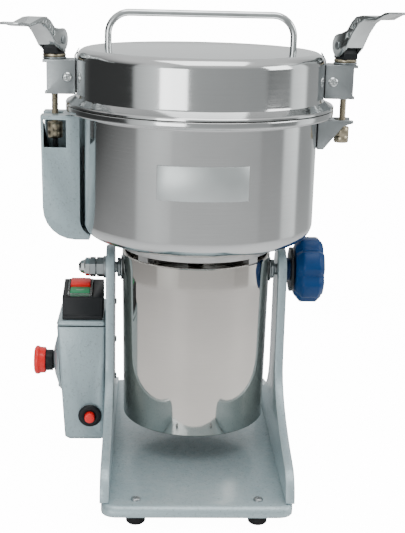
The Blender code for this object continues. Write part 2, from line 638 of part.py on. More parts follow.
def build_knob(look, axis):
    """Lobed clamping knob with a neck, and the loose washer on the neck."""
    low, high = KNOB_BODY
    count = 8 * KNOB_LOBES

    def round_loop(radius, x):
        return [on_axis("X", u, v, x) for u, v in circle(radius, count, (0, TILT_Z))]

    loops = [round_loop(STUD_HOLE_R, 105), round_loop(STUD_HOLE_R, 80.6), round_loop(10.3, 80.6)]
    loops += [round_loop(10.3, low), knob_loop(low, KNOB_R - 7, 3), knob_loop(low + 6, KNOB_R, KNOB_GROOVE)]
    loops += [knob_loop(high - 6, KNOB_R, KNOB_GROOVE), knob_loop(high - 1.2, KNOB_R - 5, 3.5)]
    loops += [knob_loop(high, KNOB_R - 16, 0.5)]
    piece("tilt_knob", loft(loops), look["blue_plastic"], axis)
    piece("knob_washer", ring(10.6, 20, 84.4, 86.6, (0, TILT_Z), "X"), look["black_plastic"], axis)


# ---------------------------------------------------------------- lid and latches

def build_lid(look, lid_axis):
    """Domed lid with its seal and handle."""
    wall, corner = LID_WALL, LID_EDGE
    outer = [(0, LID_TOP)] + arc((LID_R - corner, LID_TOP - corner), corner, 90, 0, 3)
    outer += [(LID_R, 335.9), (RIM_R - 0.8, 331.6), (RIM_R, 330.6), (RIM_R, LID_LOW)]
    inner = [(RIM_R - 2.6, LID_LOW), (RIM_R - 3.2, 330.2), (LID_R - wall, 334.6)]
    inner += arc((LID_R - corner, LID_TOP - corner), corner - wall, 0, 90, 3) + [(0, LID_TOP - wall)]
    lid = piece("lid", turned(outer + inner, ROUND_BIG), look["brushed_steel"], lid_axis)
    ends = [(x, 0) for x in (-HANDLE_X, HANDLE_X)]
    cut(lid, together(*[cylinder(HANDLE_R + GAP, 360, 390, end) for end in ends]))
    seal = [(110.0, 329.1), (109.6, 330.6), (100.0, 330.6), (100.0, 329.1)]
    piece("lid_seal", turned(seal, ROUND_BIG), look["silicone"], lid_axis)
    bend = HANDLE_BEND
    side = arc((HANDLE_X - bend, HANDLE_Z - bend), bend, 0, 90, 5)
    path = [(HANDLE_X, 364)] + side
    path = [(x, 0, z) for x, z in path] + [(-x, 0, z) for x, z in reversed(path)]
    piece("lid_handle", swept(path, HANDLE_R), look["chrome"], lid_axis)


def build_latch_bracket(look, lid_axis, name, turn):
    """A channel on the lid's skirt, open outwards, in which the rod swings."""
    x0, x1 = 106.4, 132.0
    outline = [(x0, BLOCK_LOW), (x1, BLOCK_LOW), (x1, BLOCK_LOW + 2.4), (x1 - 1.5, BLOCK_LOW + 2.4)]
    outline += [(x1 - 1.5, BLOCK_TOP - 2.4), (x1 + 1.8, BLOCK_TOP - 2.4), (x1 + 1.8, BLOCK_TOP)]
    outline += [(x0, BLOCK_TOP)]
    shape = moved(prism(outline, -12, 12, "Y"), turn)
    bracket = piece(f"{name}_latch_bracket", shape, look["zinc"], lid_axis)
    tail = [(106.5, 360), (107.6, 360), (107.6, 368.6), (103.9, 374.8), (103.3, 374.4), (106.5, 368.0)]
    cut(bracket, moved(prism(tail, -3, 3, "Y"), turn), operation="UNION")
    hollow = block((108.4, -9.6, BLOCK_LOW + 2.5), (140, 9.6, BLOCK_TOP - 2.5))
    slot = block((ROD_X - 3.6, -3.6, BLOCK_LOW - 5), (140, 3.6, BLOCK_LOW + 8))
    cut(bracket, moved(hollow, turn), moved(slot, turn))


def build_latch_cup(look, lid_axis, name, frame):
    """Washer stack and black cup on the bracket, with the block that carries the lever's pin."""
    low, cup = BLOCK_TOP + GAP, 370.2
    stack = [(0, low), (9.6, low), (9.6, low + 1.2), (8.6, low + 1.6), (9.2, cup), (9.2, 371.0), (0, 371.0)]
    shape = moved(turned(stack, 16), frame @ Matrix.Translation((0, 0, -EYE_Z)))
    obj = piece(f"{name}_latch_cup", shape, look["black_plastic"], lid_axis)
    outline = [(-9, -11), (9, -11), (9, -6.5), (5.6, -4.0)]
    outline += arc((0, 0), 5.6, 0, 180, 6) + [(-5.6, -4.0), (-9, -6.5)]
    half = LEVER_INSIDE - 0.4
    cut(obj, moved(prism(outline, -half, half, "Y"), frame), operation="UNION")


def lever_outline():
    """Side view of a cam lever from its pin: (length, height), anticlockwise."""
    lower = [(14.0, -2.0), (19.0, 5.0), (24.0, 11.5), (33.0, 20.0), (40.0, 23.0), (60.0, 24.2), (72.0, 28.4)]
    upper = [(79.0, 29.6), (79.0, 31.4), (72.0, 30.6), (60.0, 26.6), (38.0, 27.0), (28.0, 25.5)]
    upper += [(21.0, 21.0), (14.0, 13.6), (5.0, 10.8)]
    return lower + upper + arc((0, 0), EYE_R, 95, 300, 10)


def build_latches(look, lid_axis):
    """Brackets, cups and cam levers on the lid, and the rods with barrels that swing outwards."""
    for side, name in ((1, "right"), (-1, "left")):
        turn = Matrix.Rotation(0 if side > 0 else math.pi, 4, "Z")
        place = Matrix.Translation((side * ROD_X, 0, EYE_Z))
        frame = place @ Matrix.Rotation(math.radians(-90 + side * LEVER_TURN), 4, "Z")
        build_latch_bracket(look, lid_axis, name, turn)
        build_latch_cup(look, lid_axis, name, frame)
        drop = frame @ Matrix.Rotation(math.radians(-LEVER_DROP[name]), 4, "Y")
        eye_axis = axis_empty(f"{name}_lever_axis", (side * ROD_X, 0, EYE_Z), lid_axis)
        shape = moved(prism(lever_outline(), -LEVER_HALF, LEVER_HALF, "Y"), drop)
        lever = piece(f"{name}_lever", shape, look["chrome"], eye_axis)
        gap = block((-14, -LEVER_INSIDE, -14), (14.5, LEVER_INSIDE, 40))
        cut(lever, moved(gap, drop))
        swing_axis = axis_empty(f"{name}_swing_axis", (side * ROD_X, 0, SWING_Z), lid_axis)
        rod = [(0, BARREL_LOW), (BARREL_R - 0.8, BARREL_LOW), (BARREL_R, BARREL_LOW + 0.8)]
        rod += [(BARREL_R, BARREL_TOP - 0.8), (BARREL_R - 0.8, BARREL_TOP), (ROD_R, BARREL_TOP)]
        rod += [(ROD_R, SWING_Z + 5), (0, SWING_Z + 5)]
        piece(f"{name}_rod", turned(rod, 16, (side * ROD_X, 0)), look["brass_rod"], swing_axis)


def main():
    """Clear the scene and build every piece."""
    for old in list(bpy.data.objects):
        bpy.data.objects.remove(old)
    look = make_finishes()
    build_frame(look)
    build_control_box(look)
    build_buttons(look)
    head = axis_empty("tilt_axis", (0, 0, TILT_Z))
    build_housing(look, head)
    build_motor(look, head)
    build_rotor(look, head)
    build_bowl(look, head)
    build_pivots(look, head)
    lid_axis = axis_empty("lid_axis", (0, 0, LID_LOW), head)
    build_lid(look, lid_axis)
    build_latches(look, lid_axis)


if __name__ == "__main__":
    main()
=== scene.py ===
"""Looks of a tilting powder grinder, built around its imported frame."""
import json
import math

import bpy
from bpy.props import FloatProperty, FloatVectorProperty, IntProperty, PointerProperty
from mathutils import Matrix, Vector


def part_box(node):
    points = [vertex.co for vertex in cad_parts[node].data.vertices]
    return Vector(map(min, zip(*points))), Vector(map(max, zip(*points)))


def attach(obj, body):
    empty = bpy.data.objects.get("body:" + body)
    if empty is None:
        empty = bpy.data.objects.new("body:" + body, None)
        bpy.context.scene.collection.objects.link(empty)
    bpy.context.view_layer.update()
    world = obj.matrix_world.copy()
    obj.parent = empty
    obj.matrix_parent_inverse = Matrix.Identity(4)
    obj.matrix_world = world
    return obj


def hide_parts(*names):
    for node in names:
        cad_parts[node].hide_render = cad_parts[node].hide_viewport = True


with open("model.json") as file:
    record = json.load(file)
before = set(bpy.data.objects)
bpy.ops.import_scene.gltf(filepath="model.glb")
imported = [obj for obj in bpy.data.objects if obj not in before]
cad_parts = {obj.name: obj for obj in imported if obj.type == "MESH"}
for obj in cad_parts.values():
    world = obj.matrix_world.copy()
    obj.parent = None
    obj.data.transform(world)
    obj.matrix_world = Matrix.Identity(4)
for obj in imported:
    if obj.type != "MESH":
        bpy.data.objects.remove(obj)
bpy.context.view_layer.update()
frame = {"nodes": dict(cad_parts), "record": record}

bl_info = {
    "name": "Powder grinder",
    "version": (1, 0, 0),
    "blender": (4, 5, 0),
    "location": "View3D > Sidebar > Grinder",
    "description": "Builds the looks of a tilting powder grinder around its frame",
    "category": "Object",
}

MM = 0.001
TILT_Z = 0.182
SIDES = ((-1, "left"), (1, "right"))


# ---------------------------------------------------------------- settings

def colour(name, description, value):
    """A colour that a user may change."""
    return FloatVectorProperty(
        name=name, description=description, default=value, size=3, subtype="COLOR", min=0, max=1
    )


def length(name, description, value):
    """A size in metres that a user may change."""
    return FloatProperty(name=name, description=description, default=value, unit="LENGTH", min=0)


class GrinderColours(bpy.types.PropertyGroup):
    """Colours of the finishes."""
    paint: colour("Paint", "Silver hammertone paint", (0.37, 0.47, 0.50))
    paint_speck: colour("Paint speck", "Dark specks in the paint", (0.22, 0.27, 0.29))
    steel: colour("Steel", "Brushed stainless steel", (0.62, 0.63, 0.63))
    mirror_steel: colour("Polished steel", "Polished stainless steel of the motor", (0.64, 0.61, 0.57))
    zinc: colour("Zinc", "Plated steel of the brackets", (0.36, 0.39, 0.40))
    chrome: colour("Chrome", "Bright plating of levers and handle", (0.66, 0.69, 0.69))
    rod: colour("Rod", "Brass-tinted plating of the latch rods", (0.42, 0.37, 0.27))
    blue: colour("Knob", "Blue plastic of the clamping knob", (0.0, 0.040, 0.155))
    black: colour("Black plastic", "Black moulded plastic", (0.012, 0.014, 0.016))
    red: colour("Red plastic", "Red buttons", (1.0, 0.02, 0.02))
    green: colour("Green plastic", "Green button", (0.05, 0.36, 0.16))
    floor: colour("Floor", "Pale floor", (0.92, 0.92, 0.92))


class GrinderSizes(bpy.types.PropertyGroup):
    """Sizes of the pieces that the frame doesn't give."""
    round_count: IntProperty(name="Segments", description="Segments of the large round pieces",
                             default=160, min=24, max=256)
    wall: length("Wall", "Sheet thickness of bowl and motor housing", 0.0025)
    lid_wall: length("Lid wall", "Sheet thickness of the lid", 0.0022)
    lid_skirt: length("Lid skirt radius", "Radius of the lid above its flare", 0.106)
    lid_edge: length("Lid edge radius", "Rounding of the lid's top edge", 0.009)
    bowl_radius: length("Bowl radius", "Radius of the bowl's wall", 0.1017)
    bowl_edge: length("Bowl edge radius", "Rounding of the bowl's lower edge", 0.014)
    housing_low: length("Housing low radius", "Radius of the motor housing at its foot", 0.064)
    bar: length("Handle bar radius", "Radius of the lid handle's round bar", 0.003)
    handle_bend: length("Handle bend", "Radius of the handle's bends", 0.018)
    thread_pitch: length("Thread pitch", "Pitch of the latch rods' thread", 0.001)
    soft_edge: length("Soft edge", "Rounding of folded sheet edges", 0.0011)


# ---------------------------------------------------------------- node tools

def add_node(tree, kind, values=None, **settings):
    """A node with its attributes and unlinked inputs set."""
    node = tree.nodes.new(kind)
    for key, value in settings.items():
        setattr(node, key, value)
    for key, value in (values or {}).items():
        node.inputs[key].default_value = value
    return node


def math_node(tree, operation, first, second=None, third=None):
    """A Math node whose inputs are numbers or outputs; returns its output."""
    node = add_node(tree, "ShaderNodeMath", operation=operation)
    for index, value in enumerate((first, second, third)):
        if value is None:
            continue
        if isinstance(value, bpy.types.NodeSocket):
            tree.links.new(value, node.inputs[index])
        else:
            node.inputs[index].default_value = value
    return node.outputs[0]


def ranged(tree, value, low, high, to_low=0.0, to_high=1.0):
    """A clamped Map Range of a value."""
    node = add_node(tree, "ShaderNodeMapRange", {1: low, 2: high, 3: to_low, 4: to_high})
    tree.links.new(value, node.inputs[0])
    return node.outputs[0]


def blended(tree, factor, first, second):
    """A colour that goes from first to second with a factor."""
    node = add_node(tree, "ShaderNodeMix", data_type="RGBA")
    tree.links.new(factor, node.inputs[0])
    for index, value in ((6, first), (7, second)):
        if isinstance(value, bpy.types.NodeSocket):
            tree.links.new(value, node.inputs[index])
        else:
            node.inputs[index].default_value = (*value, 1.0)
    return node.outputs[2]


def noise(tree, vector, scale, detail=2.0, roughness=0.5):
    """The value of a noise texture."""
    values = {"Scale": scale, "Detail": detail, "Roughness": roughness}
    node = add_node(tree, "ShaderNodeTexNoise", values)
    tree.links.new(vector, node.inputs["Vector"])
    return node.outputs["Fac"]


def new_group(name, inputs, outputs):
    """An empty node group with named sockets; returns the tree, its input and output nodes."""
    tree = bpy.data.node_groups.new(name, "ShaderNodeTree")
    for label, kind, value in inputs:
        socket = tree.interface.new_socket(label, in_out="INPUT", socket_type=kind)
        if value is not None:
            socket.default_value = value
    for label, kind in outputs:
        tree.interface.new_socket(label, in_out="OUTPUT", socket_type=kind)
    return tree, tree.nodes.new("NodeGroupInput"), tree.nodes.new("NodeGroupOutput")


def use_group(tree, name, **values):
    """A node that uses one of the shared groups."""
    node = add_node(tree, "ShaderNodeGroup", node_tree=bpy.data.node_groups[name])
    for key, value in values.items():
        node.inputs[key].default_value = value
    return node


def make_edge_wear():
    """Group: a mask along convex edges and the normal of softly rounded edges."""
    tree, start, end = new_group(
        "edge_wear",
        [("Width", "NodeSocketFloat", 0.001), ("Patchiness", "NodeSocketFloat", 300.0)],
        [("Mask", "NodeSocketFloat"), ("Normal", "NodeSocketVector")],
    )
    bevel = add_node(tree, "ShaderNodeBevel", samples=4)
    tree.links.new(start.outputs["Width"], bevel.inputs["Radius"])
    geometry = tree.nodes.new("ShaderNodeNewGeometry")
    dot = add_node(tree, "ShaderNodeVectorMath", operation="DOT_PRODUCT")
    tree.links.new(bevel.outputs[0], dot.inputs[0])
    tree.links.new(geometry.outputs["Normal"], dot.inputs[1])
    edge = ranged(tree, dot.outputs["Value"], 0.995, 0.85)
    place = tree.nodes.new("ShaderNodeTexCoord")
    patches = add_node(tree, "ShaderNodeTexNoise", {"Detail": 3.0})
    tree.links.new(place.outputs["Object"], patches.inputs["Vector"])
    tree.links.new(start.outputs["Patchiness"], patches.inputs["Scale"])
    worn = math_node(tree, "MULTIPLY", edge, ranged(tree, patches.outputs["Fac"], 0.42, 0.62))
    tree.links.new(worn, end.inputs["Mask"])
    tree.links.new(bevel.outputs[0], end.inputs["Normal"])


def make_hammertone():
    """Group: the pebbled height of hammertone paint and its dark specks."""
    tree, start, end = new_group(
        "hammertone",
        [("Scale", "NodeSocketFloat", 500.0)],
        [("Height", "NodeSocketFloat"), ("Specks", "NodeSocketFloat")],
    )
    place = tree.nodes.new("ShaderNodeTexCoord")
    cells = add_node(tree, "ShaderNodeTexVoronoi", feature="SMOOTH_F1")
    grain = add_node(tree, "ShaderNodeTexNoise", {"Detail": 4.0, "Roughness": 0.7})
    for node in (cells, grain):
        tree.links.new(place.outputs["Object"], node.inputs["Vector"])
        tree.links.new(start.outputs["Scale"], node.inputs["Scale"])
    height = math_node(tree, "ADD", cells.outputs["Distance"], grain.outputs["Fac"])
    tree.links.new(height, end.inputs["Height"])
    tree.links.new(ranged(tree, grain.outputs["Fac"], 0.56, 0.68), end.inputs["Specks"])


def make_turned_grain():
    """Group: fine streaks round the Z axis, as a lathe or a polishing wheel leaves them."""
    tree, start, end = new_group(
        "turned_grain",
        [("Lines", "NodeSocketFloat", 1500.0)],
        [("Streaks", "NodeSocketFloat"), ("Haze", "NodeSocketFloat")],
    )
    place = tree.nodes.new("ShaderNodeTexCoord")
    split = tree.nodes.new("ShaderNodeSeparateXYZ")
    tree.links.new(place.outputs["Object"], split.inputs[0])
    x, y, z = split.outputs
    angle = math_node(tree, "ARCTAN2", y, x)
    squares = math_node(tree, "ADD", math_node(tree, "MULTIPLY", x, x), math_node(tree, "MULTIPLY", y, y))
    across = math_node(tree, "ADD", math_node(tree, "SQRT", squares), z)
    join = tree.nodes.new("ShaderNodeCombineXYZ")
    tree.links.new(math_node(tree, "MULTIPLY", angle, 1.6), join.inputs[0])
    tree.links.new(math_node(tree, "MULTIPLY", across, start.outputs["Lines"]), join.inputs[1])
    tree.links.new(noise(tree, join.outputs[0], 1.0, 3.0, 0.6), end.inputs["Streaks"])
    tree.links.new(noise(tree, place.outputs["Object"], 22.0, 3.0), end.inputs["Haze"])


def make_grain():
    """Group: fine moulded or cast grain with larger cloudy patches."""
    tree, start, end = new_group(
        "moulded_grain",
        [("Scale", "NodeSocketFloat", 900.0), ("Patch Scale", "NodeSocketFloat", 45.0)],
        [("Grain", "NodeSocketFloat"), ("Patches", "NodeSocketFloat")],
    )
    place = tree.nodes.new("ShaderNodeTexCoord")
    fine = add_node(tree, "ShaderNodeTexNoise", {"Detail": 3.0, "Roughness": 0.6})
    tree.links.new(place.outputs["Object"], fine.inputs["Vector"])
    tree.links.new(start.outputs["Scale"], fine.inputs["Scale"])
    tree.links.new(fine.outputs["Fac"], end.inputs["Grain"])
    cloudy = add_node(tree, "ShaderNodeTexNoise", {"Detail": 3.0})
    tree.links.new(place.outputs["Object"], cloudy.inputs["Vector"])
    tree.links.new(start.outputs["Patch Scale"], cloudy.inputs["Scale"])
    tree.links.new(cloudy.outputs["Fac"], end.inputs["Patches"])


def make_dust():
    """Group: a mask of light dust on faces that look upwards."""
    tree, start, end = new_group("dust", [("Amount", "NodeSocketFloat", 0.3)], [("Mask", "NodeSocketFloat")])
    geometry = tree.nodes.new("ShaderNodeNewGeometry")
    split = tree.nodes.new("ShaderNodeSeparateXYZ")
    tree.links.new(geometry.outputs["Normal"], split.inputs[0])
    place = tree.nodes.new("ShaderNodeTexCoord")
    upward = ranged(tree, split.outputs["Z"], 0.6, 1.0)
    patchy = ranged(tree, noise(tree, place.outputs["Object"], 160.0, 4.0), 0.4, 0.75)
    amount = math_node(tree, "MULTIPLY", start.outputs["Amount"], math_node(tree, "MULTIPLY", upward, patchy))
    tree.links.new(amount, end.inputs["Mask"])


# ---------------------------------------------------------------- finishes

def new_finish(name, **sockets):
    """A Principled material with its constants set on the shader's own sockets."""
    material = bpy.data.materials.new(name)
    material.use_nodes = True
    shader = material.node_tree.nodes["Principled BSDF"]
    for key, value in sockets.items():
        shader.inputs[key.replace("_", " ")].default_value = value
    return material, material.node_tree, shader


def bumped(tree, shader, height, distance, strength=0.5, normal=None):
    """Drive the shader's normal from a height."""
    bump = add_node(tree, "ShaderNodeBump", {"Strength": strength, "Distance": distance})
    tree.links.new(height, bump.inputs["Height"])
    if normal is not None:
        tree.links.new(normal, bump.inputs["Normal"])
    tree.links.new(bump.outputs[0], shader.inputs["Normal"])


def paint_finish(colours):
    """Silver hammertone powder coat with specks, soft edges and a little dust."""
    material, tree, shader = new_finish(
        "hammertone_paint", Metallic=0.45, Coat_Weight=0.5, Coat_Roughness=0.14
    )
    pebbles = use_group(tree, "hammertone", Scale=520.0)
    wear = use_group(tree, "edge_wear", Width=0.0012, Patchiness=260.0)
    dust = use_group(tree, "dust", Amount=0.18)
    specks = ranged(tree, pebbles.outputs["Specks"], 0, 1, 0, 0.75)
    base = blended(tree, specks, colours.paint, colours.paint_speck)
    light = blended(tree, wear.outputs["Mask"], base, (0.72, 0.76, 0.77))
    tree.links.new(blended(tree, dust.outputs[0], light, (0.74, 0.74, 0.72)), shader.inputs["Base Color"])
    tree.links.new(ranged(tree, pebbles.outputs["Height"], 0.3, 1.4, 0.32, 0.52), shader.inputs["Roughness"])
    bumped(tree, shader, pebbles.outputs["Height"], 0.00025, 0.45, wear.outputs["Normal"])
    return material


def turned_finish(name, tone, low, high, lines, bump):
    """Stainless steel worked round the Z axis."""
    material, tree, shader = new_finish(name, Metallic=1.0)
    grain = use_group(tree, "turned_grain", Lines=lines)
    dark = tuple(0.86 * value for value in tone)
    streaks = ranged(tree, grain.outputs["Streaks"], 0.3, 0.7)
    hazy = blended(tree, ranged(tree, grain.outputs["Haze"], 0.35, 0.7, 0, 0.5), tone, dark)
    worked = blended(tree, ranged(tree, streaks, 0, 1, 0, 0.35), hazy, dark)
    tree.links.new(worked, shader.inputs["Base Color"])
    tree.links.new(ranged(tree, streaks, 0, 1, low, high), shader.inputs["Roughness"])
    bumped(tree, shader, grain.outputs["Streaks"], bump, 0.3)
    return material


def metal_finish(name, tone, low, high, scale=900.0, bump=0.00004, patch=45.0):
    """Plated or cast metal with patchy gloss and bright edges."""
    material, tree, shader = new_finish(name, Metallic=1.0)
    grain = use_group(tree, "moulded_grain", **{"Scale": scale, "Patch Scale": patch})
    wear = use_group(tree, "edge_wear", Width=0.0006, Patchiness=500.0)
    dark = tuple(0.80 * value for value in tone)
    base = blended(tree, ranged(tree, grain.outputs["Patches"], 0.35, 0.65), dark, tone)
    edge = tuple(min(1.0, 1.3 * value) for value in tone)
    tree.links.new(blended(tree, wear.outputs["Mask"], base, edge), shader.inputs["Base Color"])
    tree.links.new(ranged(tree, grain.outputs["Grain"], 0.3, 0.7, low, high), shader.inputs["Roughness"])
    bumped(tree, shader, grain.outputs["Grain"], bump, 0.4, wear.outputs["Normal"])
    return material


def plastic_finish(name, tone, low, high, scale=1400.0, bump=0.00005, coat=0.0):
    """Moulded plastic with a fine grain and scuffed, lighter edges."""
    material, tree, shader = new_finish(
        name, Specular_IOR_Level=0.25, Coat_Weight=coat, Coat_Roughness=0.15
    )
    grain = use_group(tree, "moulded_grain", Scale=scale)
    wear = use_group(tree, "edge_wear", Width=0.0007, Patchiness=400.0)
    dust = use_group(tree, "dust", Amount=0.05)
    pale = tuple(0.9 * value + 0.03 for value in tone)
    deep = tuple(0.8 * value for value in tone)
    base = blended(tree, ranged(tree, grain.outputs["Patches"], 0.3, 0.7), deep, tone)
    worn = blended(tree, ranged(tree, wear.outputs["Mask"], 0, 1, 0, 0.6), base, pale)
    tree.links.new(blended(tree, dust.outputs[0], worn, (0.45, 0.45, 0.44)), shader.inputs["Base Color"])
    tree.links.new(ranged(tree, grain.outputs["Grain"], 0.3, 0.7, low, high), shader.inputs["Roughness"])
    bumped(tree, shader, grain.outputs["Grain"], bump, 0.4, wear.outputs["Normal"])
    return material


def clear_finish():
    """Clear soft plastic, faintly cloudy."""
    material, tree, shader = new_finish("clear_plastic", Transmission_Weight=0.92, IOR=1.35)
    grain = use_group(tree, "moulded_grain", Scale=300.0)
    tone = blended(tree, grain.outputs["Patches"], (0.93, 0.97, 0.96), (0.85, 0.90, 0.89))
    tree.links.new(tone, shader.inputs["Base Color"])
    tree.links.new(ranged(tree, grain.outputs["Grain"], 0.3, 0.7, 0.08, 0.25), shader.inputs["Roughness"])
    return material


def laminate_finish(tone):
    """Stacked sheet iron: thin level lines."""
    material, tree, shader = new_finish("iron_laminate", Metallic=0.8)
    place = tree.nodes.new("ShaderNodeTexCoord")
    sheets = add_node(tree, "ShaderNodeTexWave", {"Scale": 600.0, "Distortion": 0.4}, bands_direction="Z")
    tree.links.new(place.outputs["Object"], sheets.inputs["Vector"])
    dark = tuple(0.55 * value for value in tone)
    tree.links.new(blended(tree, sheets.outputs["Fac"], dark, tone), shader.inputs["Base Color"])
    tree.links.new(ranged(tree, sheets.outputs["Fac"], 0, 1, 0.6, 0.4), shader.inputs["Roughness"])
    bumped(tree, shader, sheets.outputs["Fac"], 0.0001)
    return material


def make_finishes(colours):
    """Every finish, by the name of its slot in the record."""
    for make in (make_edge_wear, make_hammertone, make_turned_grain, make_grain, make_dust):
        make()
    black = tuple(colours.black)
    steel = tuple(colours.steel)
    mirror = tuple(colours.mirror_steel)
    return {
        "hammertone_paint": paint_finish(colours),
        "brushed_steel": turned_finish("brushed_steel", steel, 0.07, 0.16, 1300.0, 0.00002),
        "polished_steel": turned_finish("polished_steel", mirror, 0.04, 0.08, 900.0, 0.000004),
        "zinc": metal_finish("zinc", tuple(colours.zinc), 0.30, 0.48),
        "chrome": metal_finish("chrome", tuple(colours.chrome), 0.06, 0.16, 500.0, 0.00001),
        "brass_rod": metal_finish("brass_rod", tuple(colours.rod), 0.25, 0.42),
        "cast_aluminium": metal_finish("cast_aluminium", (0.60, 0.60, 0.59), 0.35, 0.55, 700.0, 0.00008),
        "copper": metal_finish("copper", (0.62, 0.29, 0.14), 0.25, 0.40),
        "blank_label": metal_finish(
            "blank_label", (0.66, 0.70, 0.70), 0.38, 0.46, 1800.0, 0.00001, patch=18.0
        ),
        "blue_plastic": plastic_finish("blue_plastic", tuple(colours.blue), 0.28, 0.42),
        "black_plastic": plastic_finish("black_plastic", black, 0.32, 0.50),
        "red_plastic": plastic_finish("red_plastic", tuple(colours.red), 0.22, 0.34, coat=0.4),
        "green_plastic": plastic_finish("green_plastic", tuple(colours.green), 0.28, 0.42),
        "clear_plastic": clear_finish(),
        "rubber": plastic_finish("rubber", (0.02, 0.02, 0.021), 0.65, 0.85, 700.0, 0.0002),
        "silicone": plastic_finish("silicone", (0.72, 0.72, 0.69), 0.45, 0.6),
        "carbon": plastic_finish("carbon", (0.03, 0.03, 0.03), 0.55, 0.75),
        "iron_laminate": laminate_finish((0.30, 0.30, 0.31)),
    }


# ---------------------------------------------------------------- modelling tools

def start_fresh():
    """Leave nothing selected, as each primitive needs."""
    if bpy.context.object and bpy.context.object.mode != "OBJECT":
        bpy.ops.object.mode_set(mode="OBJECT")
    bpy.ops.object.select_all(action="DESELECT")


def apply_all(obj):
    """Apply the object's modifiers and its place."""
    start_fresh()
    obj.select_set(True)
    bpy.context.view_layer.objects.active = obj
    for modifier in list(obj.modifiers):
        bpy.ops.object.modifier_apply(modifier=modifier.name)
    bpy.ops.object.transform_apply(location=True, rotation=True, scale=True)


def smooth(obj, degrees=35.0):
    """Smooth shading with sharp creases."""
    start_fresh()
    obj.select_set(True)
    bpy.context.view_layer.objects.active = obj
    bpy.ops.object.shade_smooth_by_angle(angle=math.radians(degrees), keep_sharp_edges=False)


def turned(name, profile, count=48, place=(0.0, 0.0), ring=False):
    """A circle extruded and scaled along (radius, height) points; a ring joins its end to its start."""
    start_fresh()
    radius, height = profile[0]
    fill = "NOTHING" if ring else "NGON"
    bpy.ops.mesh.primitive_circle_add(
        vertices=count, radius=radius, fill_type=fill, location=(*place, height)
    )
    obj = bpy.context.object
    obj.name = name
    bpy.ops.object.mode_set(mode="EDIT")
    bpy.ops.mesh.select_all(action="SELECT")
    points = profile[1:] + (profile[:1] if ring else [])
    for new_radius, new_height in points:
        bpy.ops.mesh.extrude_region_move(TRANSFORM_OT_translate={"value": (0, 0, new_height - height)})
        size = new_radius / radius
        bpy.ops.transform.resize(value=(size, size, 1), center_override=(*place, new_height))
        radius, height = new_radius, new_height
    bpy.ops.mesh.select_all(action="SELECT")
    bpy.ops.mesh.remove_doubles(threshold=0.00001)
    bpy.ops.mesh.normals_make_consistent(inside=False)
    bpy.ops.object.mode_set(mode="OBJECT")
    apply_all(obj)
    return obj


def arc(centre, radius, start, end, steps):
    """Points of a round stretch of a profile, with the angles in degrees."""
    angles = [math.radians(start + (end - start) * i / steps) for i in range(steps + 1)]
    return [(centre[0] + radius * math.cos(a), centre[1] + radius * math.sin(a)) for a in angles]


def settled(obj, matrix):
    """The object's mesh moved to its place, with the object left at the origin."""
    obj.data.transform(matrix)
    obj.data.update()
    return obj


def copied(obj, name, matrix):
    """A copy with its own mesh, moved by a matrix."""
    twin = obj.copy()
    twin.data = obj.data.copy()
    twin.name = name
    bpy.context.collection.objects.link(twin)
    return settled(twin, matrix)


def facing(direction, place):
    """The matrix that turns +Z to a direction and moves to a place."""
    turn = Vector(direction).to_track_quat("Z", "Y").to_matrix().to_4x4()
    return Matrix.Translation(place) @ turn


def dressed(obj, body, finish, replaces=None):
    """Give a piece its finish and its body and, where it stands for a node, hide that node."""
    obj.data.materials.clear()
    obj.data.materials.append(finish)
    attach(obj, body)
    if replaces:
        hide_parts(replaces)
    return obj


def body_of_node(node):
    """The body that a node belongs to."""
    for body, nodes in frame["record"]["behaviour"]["bodies"].items():
        if node in nodes:
            return body
    raise ValueError(f"no body holds {node}")


def slot_of_node(node):
    """The record's material slot of a node."""
    for row in frame["record"]["subparts"]:
        if row["node"] == node:
            return row["material_slot"]
    raise ValueError(f"no slot for {node}")


def cut_by(obj, tools):
    """Cut the tools' shapes out of an object and delete the tools."""
    for tool in tools:
        modifier = obj.modifiers.new("cut", "BOOLEAN")
        modifier.object = tool
        modifier.solver = "EXACT"
    apply_all(obj)
    for tool in tools:
        bpy.data.objects.remove(tool)


def softened(node, name, width, segments=2, tools=()):
    """A copy of a node as one clean mesh, with cuts and rounded edges."""
    obj = frame["nodes"][node].copy()
    obj.data = obj.data.copy()
    obj.name = name
    obj.parent = None
    obj.matrix_world = Matrix.Identity(4)
    bpy.context.collection.objects.link(obj)
    start_fresh()
    obj.hide_set(False)
    obj.select_set(True)
    bpy.context.view_layer.objects.active = obj
    bpy.ops.object.mode_set(mode="EDIT")
    bpy.ops.mesh.select_all(action="SELECT")
    bpy.ops.mesh.customdata_custom_splitnormals_clear()
    bpy.ops.mesh.remove_doubles(threshold=0.00002)
    bpy.ops.mesh.dissolve_limited(angle_limit=math.radians(1.0))
    bpy.ops.object.mode_set(mode="OBJECT")
    if tools:
        cut_by(obj, tools)
    bevel = obj.modifiers.new("soft_edges", "BEVEL")
    bevel.width = width
    bevel.segments = segments
    bevel.limit_method = "ANGLE"
    bevel.angle_limit = math.radians(32)
    bevel.harden_normals = False
    apply_all(obj)
    smooth(obj, 50.0)
    return obj


def cross_screw(radius, height):
    """A pan-head screw with a cross recess, at the origin, facing +Z."""
    dome = [(radius, 0.0), (radius, 0.3 * height), (0.86 * radius, 0.75 * height)]
    dome += [(0.6 * radius, 0.95 * height), (0.3 * radius, height)]
    head = turned("screw", dome, 32)
    tools = []
    for across in (0, 1):
        start_fresh()
        bpy.ops.mesh.primitive_cube_add(size=1, location=(0, 0, height))
        bar = bpy.context.object
        long, thin = 1.25 * radius, 0.28 * radius
        bar.scale = (long, thin, 1.1 * height) if across else (thin, long, 1.1 * height)
        apply_all(bar)
        tools.append(bar)
    cut_by(head, tools)
    smooth(head, 40.0)
    return head


